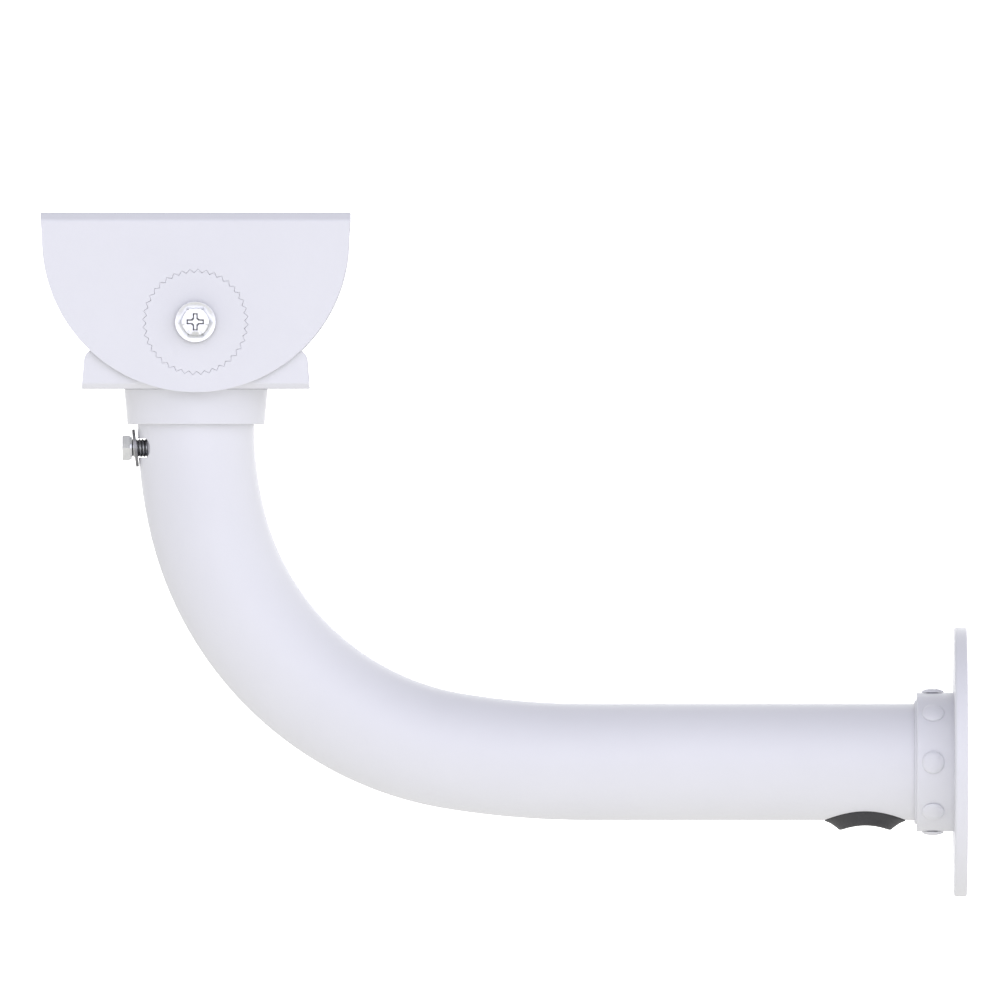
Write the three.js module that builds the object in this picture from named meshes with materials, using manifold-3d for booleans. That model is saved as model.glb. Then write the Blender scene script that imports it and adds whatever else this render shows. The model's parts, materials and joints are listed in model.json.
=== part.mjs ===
// Wall bracket for a security camera, in millimetres, +Z up.
// The origin is the centre of the wall plate's back face and +X points into the wall.
// The arm reaches along -X and bends up to the neck, where the head swivels about a vertical axis
// and tilts about an axis along Y.

import * as THREE from 'three';
import { mergeVertices } from 'three/addons/utils/BufferGeometryUtils.js';
import Module from 'manifold-3d';

// General
const GAP = 0.3; // clearance between neighbouring pieces
const CHAMFER = 0.6;
const CUT = 1; // how far a cutting shape runs past the face that it cuts
const ROUND_SIDES = 40;
const SMALL_SIDES = 16;
const WASHER_SIDES = 24;
const RIVET_SIDES = 12;

// Arm tube: straight along the wall axis, then three curves that run into each other up to the neck
const REACH = 293.7; // wall face to the swivel axis
const TUBE_RADIUS = 22.225; // standard 1 3/4 inch tube
const TUBE_WALL = 3;
const TUBE_BORE = TUBE_RADIUS - TUBE_WALL;
const TUBE_SIDES = 36;
const TUBE_TOP = 128.5;
const BENDS = [ // from the neck down; the sweeps add up to 90 degrees
  { radius: 156, sweep: 13.4, steps: 3 },
  { radius: 116, sweep: 67.2, steps: 12 },
  { radius: 313, sweep: 9.4, steps: 3 },
];

// Wall plate and its collar
const PLATE_RADIUS = 51.4;
const PLATE_THICKNESS = 5;
const COLLAR_RADIUS = 26.5;
const COLLAR_FRONT = 19.3; // distance of the collar's mouth from the wall
const WALL_HOLE_RADIUS = 3.25;
const WALL_HOLE_CIRCLE = 41;
const WALL_HOLE_COUNT = 4;

// Rivets through collar and tube
const RIVET_COUNT = 8;
const RIVET_X = -13.1;
const RIVET_SHANK = 2;
const RIVET_HEAD = 4.3;
const RIVET_HEAD_HEIGHT = 1.5;
const RIVET_TAIL = 3.1;
const RIVET_TAIL_HEIGHT = 1.2;

// Cable hole and its rubber grommet
const CABLE_HOLE_X = -38.8;
const CABLE_HOLE_HALF_LENGTH = 15.8;
const CABLE_HOLE_HALF_WIDTH = 12;
const GROMMET_WALL = 2;
const GROMMET_FLANGE = 1.5; // how far the inner flange reaches past the hole
const LIP_HEIGHT = 3.7;
const LIP_HALF_LENGTH = 10.4;
const LIP_HALF_WIDTH = 10.6;

// Neck: a collar that rests on the tube's end and a stem inside the tube
const NECK_BORE = 14.5;
const STEM_RADIUS = 17.9;
const STEM_BOTTOM = 112;
const NECK_BOTTOM = TUBE_TOP + GAP;
const NECK_TOP = 141.8;
const NECK_BOTTOM_RADIUS = 26.2;
const NECK_TOP_RADIUS = 27.4;

// Swivel slot in the tube and the bolt that locks the swivel
const LOCK_Z = 119.6;
const SLOT_HALF_HEIGHT = 3.6;
const SLOT_HALF_ANGLE = THREE.MathUtils.degToRad(28.5); // to the centre of each round end
const LOCK_HEAD_X = -24.4; // under the bolt's head, from the swivel axis
const LOCK_SHANK = 3.3;
const LOCK_LENGTH = 12;
const LOCK_WASHER_X = -23.1;
const LOCK_WASHER_RADIUS = 7.2;
const LOCK_WASHER_BORE = 3.8;
const LOCK_WASHER_THICKNESS = 1;
const LOCK_WASHER_LEAN = THREE.MathUtils.degToRad(6.5);

// M6 fasteners
const M6_SHANK = 2.9;
const M6_CLEARANCE = 3.3;
const HEX_ACROSS_FLATS = 9.7;
const HEX_HEIGHT = 3.7;

// Saddle: folded sheet with two ears
const SADDLE_BOTTOM = NECK_TOP + GAP;
const SHEET = 3;
const SADDLE_HALF_LENGTH = 43.4;
const SADDLE_HALF_WIDTH = 30.5;
const SADDLE_BEND = 4;
const EAR_TOP_RADIUS = 21;
const EAR_SHOULDER_X = 42.5;
const EAR_SHOULDER_Z = 152.5;
const EAR_CORNER = 5;
const SADDLE_HOLE = 14;

// Countersunk screws from the saddle into the neck
const SADDLE_SCREW_COUNT = 4;
const SADDLE_SCREW_CIRCLE = 21;
const SADDLE_SCREW_SHANK = 2.5;
const SADDLE_SCREW_HEAD = 4.6;
const SADDLE_SCREW_HEAD_HEIGHT = 2.3;
const SADDLE_SCREW_LENGTH = 11;

// Head: an upside-down channel with half-round side walls
const PIVOT_Z = 167.5;
const HEAD_TOP = 209.2;
const HEAD_HALF_LENGTH = 59.1;
const HEAD_ARC_RADIUS = 58.4;
const HEAD_ARC_Z = 199.1;
const HEAD_HALF_WIDTH = 34;
const HEAD_BEND = 4.2;
const CAMERA_SLOT_HALF_WIDTH = 3.5;
const CAMERA_SLOT_HALF_LENGTH = 17; // to the end of the slot
const CAMERA_SLOT_X = 31;

// Toothed discs that sit in the toothed holes of the head's side walls
const TEETH = 40;
const TOOTH_ROOT = 18.7;
const TOOTH_TIP = 20.1;
const TOOTH_CLEARANCE = 0.2; // on each side of the tooth line
const FIRST_TIP = THREE.MathUtils.degToRad(6);

// Pivot screw stack, outwards from the face of the head's side wall
const PIVOT_WASHER_RADIUS = 7.8;
const PIVOT_WASHER_THICKNESS = 1.6;
const SPRING_WASHER_RADIUS = 5.2;
const SPRING_WASHER_THICKNESS = 1.5;
const SPRING_WASHER_SLIT = 1.2;
const PIVOT_SCREW_LENGTH = 16;
const CROSS_SPAN = 6.7;
const CROSS_WIDTH = 2;
const CROSS_DEPTH = 2;
const NUT_THICKNESS = 5;

const wasm = await Module();
wasm.setup();

// Solids

function solid(geometry) {
  const bare = geometry.clone();
  bare.deleteAttribute('normal');
  bare.deleteAttribute('uv');
  const merged = mergeVertices(bare);
  const mesh = new wasm.Mesh({
    numProp: 3,
    vertProperties: new Float32Array(merged.attributes.position.array),
    triVerts: new Uint32Array(merged.index.array),
  });
  return new wasm.Manifold(mesh);
}

function geometryOf(manifold) {
  const mesh = manifold.getMesh();
  const geometry = new THREE.BufferGeometry();
  geometry.setAttribute('position', new THREE.BufferAttribute(mesh.vertProperties, 3));
  geometry.setIndex(new THREE.BufferAttribute(mesh.triVerts, 1));
  geometry.computeVertexNormals();
  return geometry;
}

function cut(geometry, cutters) {
  let result = solid(geometry);
  for (const cutter of cutters) {
    result = result.subtract(solid(cutter));
  }
  return geometryOf(result);
}

function joined(geometries) {
  let result = solid(geometries[0]);
  for (const geometry of geometries.slice(1)) {
    result = result.add(solid(geometry));
  }
  return geometryOf(result);
}

function common(first, second) {
  return geometryOf(solid(first).intersect(solid(second)));
}

// Basic shapes

// Solid of revolution about Z from [radius, height] points.
function turned(points, sides) {
  const profile = points.map(([radius, height]) => new THREE.Vector2(radius, height));
  return new THREE.LatheGeometry(profile, sides).rotateX(Math.PI / 2);
}

// Closed ring about Z from [radius, height] points that don't reach the axis.
function turnedRing(points, sides) {
  return turned([...points, points[0]], sides);
}

function ring(inner, outer, thickness, sides) {
  return turnedRing([[inner, 0], [outer, 0], [outer, thickness], [inner, thickness]], sides);
}

// Upright round bar from one height to another.
function bar(radius, bottom, top, sides = SMALL_SIDES) {
  const height = top - bottom;
  const geometry = new THREE.CylinderGeometry(radius, radius, height, sides);
  return geometry.rotateX(Math.PI / 2).translate(0, 0, (top + bottom) / 2);
}

// Upright hexagonal bar with flats facing +Y and -Y.
function hexBar(bottom, top) {
  const cornerRadius = HEX_ACROSS_FLATS / Math.sqrt(3);
  return bar(cornerRadius, bottom, top, 6).rotateZ(Math.PI / 2);
}

// Turns an outline in X and Z into a plate along Y, from -halfDepth to halfDepth.
function plateAcrossY(shape, halfDepth) {
  const options = { depth: 2 * halfDepth, bevelEnabled: false, curveSegments: 16 };
  return new THREE.ExtrudeGeometry(shape, options).rotateX(Math.PI / 2).translate(0, halfDepth, 0);
}

// Turns a profile in Y and Z into a beam along X, from -halfLength to halfLength.
function beamAlongX(shape, halfLength) {
  const options = { depth: 2 * halfLength, bevelEnabled: false, curveSegments: 5 };
  const beam = new THREE.ExtrudeGeometry(shape, options).rotateX(Math.PI / 2).rotateZ(Math.PI / 2);
  return beam.translate(-halfLength, 0, 0);
}

// Folded sheet seen end on: a floor with its underside at 0 and two walls up to a height.
function foldedProfile(halfWidth, height, bend) {
  const innerBend = bend - SHEET;
  const inside = halfWidth - SHEET;
  const shape = new THREE.Shape();
  shape.moveTo(-halfWidth + bend, 0);
  shape.lineTo(halfWidth - bend, 0);
  shape.absarc(halfWidth - bend, bend, bend, -Math.PI / 2, 0, false);
  shape.lineTo(halfWidth, height);
  shape.lineTo(inside, height);
  shape.lineTo(inside, bend);
  shape.absarc(halfWidth - bend, bend, innerBend, 0, -Math.PI / 2, true);
  shape.lineTo(-halfWidth + bend, SHEET);
  shape.absarc(-halfWidth + bend, bend, innerBend, -Math.PI / 2, -Math.PI, true);
  shape.lineTo(-inside, height);
  shape.lineTo(-halfWidth, height);
  shape.lineTo(-halfWidth, bend);
  shape.absarc(-halfWidth + bend, bend, bend, -Math.PI, -Math.PI / 2, false);
  return shape;
}

// Spreads copies of a shape evenly round the Z axis.
function roundZ(geometry, count, firstAngle) {
  const copies = [];
  for (let i = 0; i < count; i += 1) {
    copies.push(geometry.clone().rotateZ(firstAngle + (i * 2 * Math.PI) / count));
  }
  return copies;
}

// Materials

function whitePaint() {
  return new THREE.MeshStandardMaterial({ color: 0xe6e6f0, roughness: 0.45, metalness: 0 });
}

function zinc() {
  return new THREE.MeshStandardMaterial({ color: 0xc8cacc, roughness: 0.25, metalness: 1 });
}

function darkRubber() {
  return new THREE.MeshStandardMaterial({ color: 0x4a4a4a, roughness: 0.7, metalness: 0 });
}

// Arm

// The centreline from the tube's top to its end in the wall collar. The parameter counts
// stations, so the straight stretches have few and the bend has many.
class ArmPath extends THREE.Curve {
  constructor() {
    super();
    const angles = [0];
    let drop = 0;
    for (const { radius, sweep } of BENDS) {
      const last = angles[angles.length - 1];
      const next = last + THREE.MathUtils.degToRad(sweep);
      drop += radius * (Math.sin(next) - Math.sin(last));
      angles.push(next);
    }
    const between = (a, b, s) => [a[0] + (b[0] - a[0]) * s, a[1] + (b[1] - a[1]) * s];
    const onArc = ([x, z], radius, first, angle) => [
      x + radius * (Math.cos(first) - Math.cos(angle)),
      z - radius * (Math.sin(angle) - Math.sin(first)),
    ];
    let from = [-REACH, drop];
    this.stretches = [{ steps: 1, at: (s) => between([-REACH, TUBE_TOP], [-REACH, drop], s) }];
    BENDS.forEach(({ radius, steps }, i) => {
      const start = from;
      const [first, last] = [angles[i], angles[i + 1]];
      this.stretches.push({ steps, at: (s) => onArc(start, radius, first, first + (last - first) * s) });
      from = onArc(start, radius, first, last);
    });
    const end = [-PLATE_THICKNESS - 2 * GAP, 0];
    this.stretches.push({ steps: 1, at: (s) => between([from[0], 0], end, s) });
    this.steps = this.stretches.reduce((sum, stretch) => sum + stretch.steps, 0);
  }

  getUtoTmapping(u) {
    return u;
  }

  getPoint(t, target = new THREE.Vector3()) {
    let left = t * this.steps;
    let index = 0;
    while (index < this.stretches.length - 1 && left > this.stretches[index].steps) {
      left -= this.stretches[index].steps;
      index += 1;
    }
    const stretch = this.stretches[index];
    const [x, z] = stretch.at(left / stretch.steps);
    return target.set(x, 0, z);
  }
}

// Level oval prism that cuts the cable hole through the tube's underside.
function cableHoleCutter() {
  const prism = bar(1, -TUBE_RADIUS - CUT, -TUBE_RADIUS / 2, 32);
  return prism.scale(CABLE_HOLE_HALF_LENGTH, CABLE_HOLE_HALF_WIDTH, 1).translate(CABLE_HOLE_X, 0, 0);
}

// Slot with round ends round the tube's outer side, about the swivel axis.
function swivelSlotCutter() {
  const outer = TUBE_RADIUS + CUT;
  const inner = TUBE_BORE - CUT;
  const middle = Math.PI;
  const shape = new THREE.Shape();
  shape.absarc(0, 0, outer, middle - SLOT_HALF_ANGLE, middle + SLOT_HALF_ANGLE, false);
  shape.absarc(0, 0, inner, middle + SLOT_HALF_ANGLE, middle - SLOT_HALF_ANGLE, true);
  const options = { depth: 2 * SLOT_HALF_HEIGHT, bevelEnabled: false, curveSegments: 8 };
  const parts = [new THREE.ExtrudeGeometry(shape, options).translate(0, 0, -SLOT_HALF_HEIGHT)];
  for (const side of [-1, 1]) {
    const roundEnd = bar(SLOT_HALF_HEIGHT, inner, outer).rotateY(-Math.PI / 2);
    parts.push(roundEnd.rotateZ(side * SLOT_HALF_ANGLE));
  }
  return joined(parts).translate(-REACH, 0, LOCK_Z);
}

// Radial holes for the rivets, through collar and tube.
function rivetHoleCutters() {
  const hole = bar(RIVET_SHANK + GAP, TUBE_BORE - CUT, COLLAR_RADIUS + CUT, SMALL_SIDES);
  return roundZ(hole.rotateY(Math.PI / 2), RIVET_COUNT, 0).map((copy) => {
    return copy.rotateY(-Math.PI / 2).translate(RIVET_X, 0, 0);
  });
}

function armTube() {
  const shape = new THREE.Shape();
  shape.absarc(0, 0, TUBE_RADIUS, 0, 2 * Math.PI, false);
  const bore = new THREE.Path();
  bore.absarc(0, 0, TUBE_BORE, 0, 2 * Math.PI, true);
  shape.holes.push(bore);
  const path = new ArmPath();
  const options = { steps: path.steps, extrudePath: path, curveSegments: TUBE_SIDES / 2 };
  const pipe = new THREE.ExtrudeGeometry(shape, options);
  return cut(pipe, [cableHoleCutter(), swivelSlotCutter(), ...rivetHoleCutters()]);
}

function wallPlate() {
  const seat = PLATE_THICKNESS + GAP;
  const bore = TUBE_RADIUS + GAP;
  const body = turned([
    [0, 0],
    [PLATE_RADIUS - CHAMFER, 0],
    [PLATE_RADIUS, CHAMFER],
    [PLATE_RADIUS, PLATE_THICKNESS - CHAMFER],
    [PLATE_RADIUS - CHAMFER, PLATE_THICKNESS],
    [COLLAR_RADIUS + CHAMFER, PLATE_THICKNESS],
    [COLLAR_RADIUS, PLATE_THICKNESS + CHAMFER],
    [COLLAR_RADIUS, COLLAR_FRONT - CHAMFER],
    [COLLAR_RADIUS - CHAMFER, COLLAR_FRONT],
    [bore, COLLAR_FRONT],
    [bore, seat],
    [0, seat],
  ], ROUND_SIDES);
  const screwHole = bar(WALL_HOLE_RADIUS, -CUT, PLATE_THICKNESS + CUT);
  const screwHoles = roundZ(screwHole.translate(WALL_HOLE_CIRCLE, 0, 0), WALL_HOLE_COUNT, Math.PI / 4);
  const drilled = cut(body, screwHoles).rotateY(-Math.PI / 2);
  return cut(drilled, rivetHoleCutters());
}

// Rivet along Z, with heights counted from the arm's axis.
function collarRivet() {
  const headBase = COLLAR_RADIUS + GAP;
  const headTop = COLLAR_RADIUS + RIVET_HEAD_HEIGHT;
  const tailTop = TUBE_BORE - 2 * GAP;
  const tailBottom = tailTop - RIVET_TAIL_HEIGHT;
  const domeHeight = headTop - headBase;
  const domeRadius = (RIVET_HEAD ** 2 + domeHeight ** 2) / (2 * domeHeight);
  const points = [
    [0, tailBottom],
    [RIVET_TAIL, tailBottom],
    [RIVET_TAIL, tailTop],
    [RIVET_SHANK, tailTop],
    [RIVET_SHANK, headBase],
  ];
  for (const share of [1, 0.8, 0.5]) {
    const radius = RIVET_HEAD * share;
    points.push([radius, headTop - domeRadius + Math.sqrt(domeRadius ** 2 - radius ** 2)]);
  }
  points.push([0, headTop]);
  return turned(points, RIVET_SIDES);
}

// Rubber lip in the cable hole. It is a ring of ovals, each laid on a cylinder about the arm's
// axis: [half length along the arm, half width across it, radius of the cylinder].
function cableGrommet() {
  const long = CABLE_HOLE_HALF_LENGTH - GAP;
  const wide = CABLE_HOLE_HALF_WIDTH - GAP;
  const lip = TUBE_RADIUS + LIP_HEIGHT;
  const flangeOuter = TUBE_BORE - GAP;
  const flangeInner = flangeOuter - GROMMET_FLANGE;
  const ovals = [
    [LIP_HALF_LENGTH - GROMMET_WALL, LIP_HALF_WIDTH - GROMMET_WALL, lip],
    [LIP_HALF_LENGTH, LIP_HALF_WIDTH, lip],
    [long, wide, TUBE_RADIUS],
    [long, wide, flangeOuter],
    [long + GROMMET_FLANGE, wide + GROMMET_FLANGE, flangeOuter],
    [long + GROMMET_FLANGE, wide + GROMMET_FLANGE, flangeInner],
    [long - GROMMET_WALL, wide - GROMMET_WALL, flangeInner],
    [long - GROMMET_WALL, wide - GROMMET_WALL, TUBE_RADIUS],
  ];
  const profile = [...ovals, ovals[0]];
  const geometry = turned(profile.map(([halfLength, , radius]) => [halfLength, -radius]), 32);
  const position = geometry.attributes.position;
  for (let i = 0; i < position.count; i += 1) {
    const [halfLength, halfWidth, radius] = profile[i % profile.length];
    const y = (position.getY(i) / halfLength) * halfWidth;
    position.setY(i, y);
    position.setZ(i, -Math.sqrt(radius ** 2 - y ** 2));
  }
  return geometryOf(solid(geometry));
}

// Swivel: everything that turns with the neck, about the Z axis of its group

function swivelNeck() {
  const body = turnedRing([
    [NECK_BORE, STEM_BOTTOM],
    [STEM_RADIUS, STEM_BOTTOM],
    [STEM_RADIUS, NECK_BOTTOM],
    [NECK_BOTTOM_RADIUS - CHAMFER, NECK_BOTTOM],
    [NECK_BOTTOM_RADIUS, NECK_BOTTOM + CHAMFER],
    [NECK_TOP_RADIUS, NECK_TOP - CHAMFER],
    [NECK_TOP_RADIUS - CHAMFER, NECK_TOP],
    [NECK_BORE, NECK_TOP],
  ], ROUND_SIDES);
  const lockHole = bar(LOCK_SHANK + GAP, NECK_BORE - CUT, STEM_RADIUS + CUT).rotateY(-Math.PI / 2);
  const screwHoleBottom = SADDLE_BOTTOM + SHEET - SADDLE_SCREW_LENGTH - GAP;
  const screwHole = bar(SADDLE_SCREW_SHANK + GAP, screwHoleBottom, NECK_TOP + CUT);
  screwHole.translate(SADDLE_SCREW_CIRCLE, 0, 0);
  const screwHoles = roundZ(screwHole, SADDLE_SCREW_COUNT, Math.PI / 4);
  return cut(body, [lockHole.translate(0, 0, LOCK_Z), ...screwHoles]);
}

// The saddle's side view: straight foot, round shoulders and a round top about the pivot.
function earOutline() {
  const tangentAngle = Math.PI / 4;
  const shape = new THREE.Shape();
  const sideX = EAR_SHOULDER_X - EAR_CORNER;
  shape.moveTo(-SADDLE_HALF_LENGTH, SADDLE_BOTTOM);
  shape.lineTo(SADDLE_HALF_LENGTH, SADDLE_BOTTOM);
  shape.lineTo(EAR_SHOULDER_X, EAR_SHOULDER_Z);
  shape.absarc(sideX, EAR_SHOULDER_Z, EAR_CORNER, 0, tangentAngle, false);
  shape.absarc(0, PIVOT_Z, EAR_TOP_RADIUS, tangentAngle, Math.PI - tangentAngle, false);
  shape.absarc(-sideX, EAR_SHOULDER_Z, EAR_CORNER, Math.PI - tangentAngle, Math.PI, false);
  return shape;
}

function countersinkCutter() {
  const top = SADDLE_BOTTOM + SHEET;
  const neck = SADDLE_SCREW_SHANK + GAP;
  return turned([
    [0, SADDLE_BOTTOM - CUT],
    [neck, SADDLE_BOTTOM - CUT],
    [neck, top - SADDLE_SCREW_HEAD_HEIGHT],
    [SADDLE_SCREW_HEAD + GAP, top],
    [SADDLE_SCREW_HEAD + GAP, top + CUT],
    [0, top + CUT],
  ], SMALL_SIDES).translate(SADDLE_SCREW_CIRCLE, 0, 0);
}

function pivotHoleCutter() {
  return bar(M6_CLEARANCE, -HEAD_HALF_WIDTH - CUT, HEAD_HALF_WIDTH + CUT).rotateX(Math.PI / 2);
}

function saddle() {
  const earHeight = PIVOT_Z + EAR_TOP_RADIUS - SADDLE_BOTTOM;
  const profile = foldedProfile(SADDLE_HALF_WIDTH, earHeight, SADDLE_BEND);
  const sheet = beamAlongX(profile, SADDLE_HALF_LENGTH).translate(0, 0, SADDLE_BOTTOM);
  const body = common(sheet, plateAcrossY(earOutline(), SADDLE_HALF_WIDTH + CUT));
  const cableHole = bar(SADDLE_HOLE, SADDLE_BOTTOM - CUT, SADDLE_BOTTOM + SHEET + CUT, ROUND_SIDES);
  return cut(body, [
    cableHole,
    pivotHoleCutter().translate(0, 0, PIVOT_Z),
    ...roundZ(countersinkCutter(), SADDLE_SCREW_COUNT, Math.PI / 4),
  ]);
}

// Countersunk screw with its head's face at 0, pointing down.
function saddleScrew() {
  return turned([
    [0, -SADDLE_SCREW_LENGTH],
    [SADDLE_SCREW_SHANK, -SADDLE_SCREW_LENGTH],
    [SADDLE_SCREW_SHANK, -SADDLE_SCREW_HEAD_HEIGHT],
    [SADDLE_SCREW_HEAD, 0],
    [0, 0],
  ], SMALL_SIDES);
}

// Hex bolt along Z with the underside of its head at 0 and the head upwards.
function hexBolt(shank, length) {
  return joined([hexBar(0, HEX_HEIGHT), bar(shank, -length, HEX_HEIGHT / 2)]);
}

function crossRecessBolt(length) {
  const depth = 2 * CROSS_DEPTH;
  const arms = [
    new THREE.BoxGeometry(CROSS_SPAN, CROSS_WIDTH, depth).translate(0, 0, HEX_HEIGHT),
    new THREE.BoxGeometry(CROSS_WIDTH, CROSS_SPAN, depth).translate(0, 0, HEX_HEIGHT),
  ];
  return cut(hexBolt(M6_SHANK, length), arms);
}

function springWasher() {
  const washer = ring(M6_CLEARANCE, SPRING_WASHER_RADIUS, SPRING_WASHER_THICKNESS, WASHER_SIDES);
  const slit = new THREE.BoxGeometry(SPRING_WASHER_RADIUS, SPRING_WASHER_SLIT, 4 * SPRING_WASHER_THICKNESS);
  return cut(washer, [slit.translate(SPRING_WASHER_RADIUS, 0, 0)]);
}

function hexNut() {
  return cut(hexBar(0, NUT_THICKNESS), [bar(M6_SHANK + GAP, -CUT, NUT_THICKNESS + CUT)]);
}

// Tilting head, about the Y axis of its group

// Zigzag outline with one point outwards and one inwards for each tooth.
function toothedPoints(offset) {
  const points = [];
  for (let i = 0; i < 2 * TEETH; i += 1) {
    const angle = FIRST_TIP + (i * Math.PI) / TEETH;
    const radius = (i % 2 === 0 ? TOOTH_TIP : TOOTH_ROOT) + offset;
    points.push(new THREE.Vector2(radius * Math.cos(angle), radius * Math.sin(angle)));
  }
  return points;
}

function toothedDisc() {
  const plate = plateAcrossY(new THREE.Shape(toothedPoints(-TOOTH_CLEARANCE)), SHEET / 2);
  return cut(plate, [pivotHoleCutter()]);
}

function sideOutline() {
  const arcZ = HEAD_ARC_Z - PIVOT_Z;
  const topZ = HEAD_TOP - PIVOT_Z;
  const shape = new THREE.Shape();
  shape.moveTo(HEAD_HALF_LENGTH, topZ);
  shape.lineTo(-HEAD_HALF_LENGTH, topZ);
  shape.absarc(0, arcZ, HEAD_ARC_RADIUS, Math.PI, 2 * Math.PI, false);
  return shape;
}

function cameraSlotCutter(x) {
  const run = CAMERA_SLOT_HALF_LENGTH - CAMERA_SLOT_HALF_WIDTH;
  const shape = new THREE.Shape();
  shape.absarc(run, 0, CAMERA_SLOT_HALF_WIDTH, -Math.PI / 2, Math.PI / 2, false);
  shape.absarc(-run, 0, CAMERA_SLOT_HALF_WIDTH, Math.PI / 2, (3 * Math.PI) / 2, false);
  const options = { depth: SHEET + 2 * CUT, bevelEnabled: false, curveSegments: 8 };
  const bottom = HEAD_TOP - PIVOT_Z - SHEET - CUT;
  return new THREE.ExtrudeGeometry(shape, options).translate(x, 0, bottom);
}

function tiltChannel() {
  const topZ = HEAD_TOP - PIVOT_Z;
  const depth = HEAD_TOP - (HEAD_ARC_Z - HEAD_ARC_RADIUS);
  const profile = foldedProfile(HEAD_HALF_WIDTH, depth + CUT, HEAD_BEND);
  const sheet = beamAlongX(profile, HEAD_HALF_LENGTH + CUT).rotateX(Math.PI).translate(0, 0, topZ);
  const body = common(sheet, plateAcrossY(sideOutline(), HEAD_HALF_WIDTH + CUT));
  const toothedHole = plateAcrossY(new THREE.Shape(toothedPoints(TOOTH_CLEARANCE)), HEAD_HALF_WIDTH + CUT);
  return cut(body, [toothedHole, cameraSlotCutter(-CAMERA_SLOT_X), cameraSlotCutter(CAMERA_SLOT_X)]);
}

// Assembly

function add(group, name, geometry, material, position = [0, 0, 0], rotation = [0, 0, 0]) {
  const mesh = new THREE.Mesh(geometry, material);
  mesh.name = name;
  mesh.position.set(...position);
  mesh.rotation.set(...rotation);
  group.add(mesh);
}

function armGroup() {
  const group = new THREE.Group();
  add(group, 'wall_plate', wallPlate(), whitePaint());
  for (let i = 0; i < RIVET_COUNT; i += 1) {
    const angle = (i * 2 * Math.PI) / RIVET_COUNT;
    add(group, `collar_rivet_${i + 1}`, collarRivet(), whitePaint(), [RIVET_X, 0, 0], [angle, 0, 0]);
  }
  add(group, 'arm_tube', armTube(), whitePaint());
  add(group, 'cable_grommet', cableGrommet(), darkRubber(), [CABLE_HOLE_X, 0, 0]);
  return group;
}

// The screw stack on one side of the head. It is drawn along Z and turned to face outwards.
function addPivotStack(group, side, facing) {
  const washer = HEAD_HALF_WIDTH + GAP;
  const springWasherBase = washer + PIVOT_WASHER_THICKNESS + GAP;
  const screw = springWasherBase + SPRING_WASHER_THICKNESS + GAP;
  const nut = SADDLE_HALF_WIDTH - SHEET - GAP - NUT_THICKNESS;
  const out = [(-facing * Math.PI) / 2, 0, 0];
  const at = (distance) => [0, facing * distance, PIVOT_Z];
  const flat = ring(M6_CLEARANCE, PIVOT_WASHER_RADIUS, PIVOT_WASHER_THICKNESS, WASHER_SIDES);
  add(group, `pivot_nut_${side}`, hexNut(), zinc(), at(nut), out);
  add(group, `pivot_washer_${side}`, flat, zinc(), at(washer), out);
  add(group, `pivot_spring_washer_${side}`, springWasher(), zinc(), at(springWasherBase), out);
  add(group, `pivot_screw_${side}`, crossRecessBolt(PIVOT_SCREW_LENGTH), zinc(), at(screw), out);
}

function swivelGroup() {
  const group = new THREE.Group();
  group.position.set(-REACH, 0, 0);
  add(group, 'swivel_neck', swivelNeck(), whitePaint());
  add(group, 'saddle', saddle(), whitePaint());
  for (let i = 0; i < SADDLE_SCREW_COUNT; i += 1) {
    const angle = Math.PI / 4 + (i * Math.PI) / 2;
    const x = SADDLE_SCREW_CIRCLE * Math.cos(angle);
    const y = SADDLE_SCREW_CIRCLE * Math.sin(angle);
    const z = SADDLE_BOTTOM + SHEET;
    add(group, `saddle_screw_${i + 1}`, saddleScrew(), zinc(), [x, y, z]);
  }
  const outwards = [0, -Math.PI / 2, Math.PI / 2];
  const washer = ring(LOCK_WASHER_BORE, LOCK_WASHER_RADIUS, LOCK_WASHER_THICKNESS, WASHER_SIDES);
  washer.translate(0, 0, -LOCK_WASHER_THICKNESS / 2);
  const leaning = [0, -Math.PI / 2 - LOCK_WASHER_LEAN, 0];
  add(group, 'pan_lock_bolt', hexBolt(LOCK_SHANK, LOCK_LENGTH), zinc(), [LOCK_HEAD_X, 0, LOCK_Z], outwards);
  add(group, 'pan_lock_washer', washer, zinc(), [LOCK_WASHER_X, 0, LOCK_Z], leaning);
  addPivotStack(group, 'front', -1);
  addPivotStack(group, 'back', 1);
  return group;
}

function headGroup() {
  const group = new THREE.Group();
  group.position.set(-REACH, 0, PIVOT_Z);
  const discY = HEAD_HALF_WIDTH - SHEET / 2;
  add(group, 'tilt_channel', tiltChannel(), whitePaint());
  add(group, 'toothed_disc_front', toothedDisc(), whitePaint(), [0, -discY, 0]);
  add(group, 'toothed_disc_back', toothedDisc(), whitePaint(), [0, discY, 0]);
  return group;
}

const bracket = new THREE.Group();
bracket.add(armGroup(), swivelGroup(), headGroup());

export default bracket;
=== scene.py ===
"""Looks of a wall bracket for a security camera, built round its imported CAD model.

Lengths are in millimetres until a mesh is made, and every mesh is made in place, in the CAD's own
frame: the origin is the centre of the wall plate's back, +X points into the wall and +Z up.
"""

import json
import math

import bmesh
import bpy
from mathutils import Matrix, Vector

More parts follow.
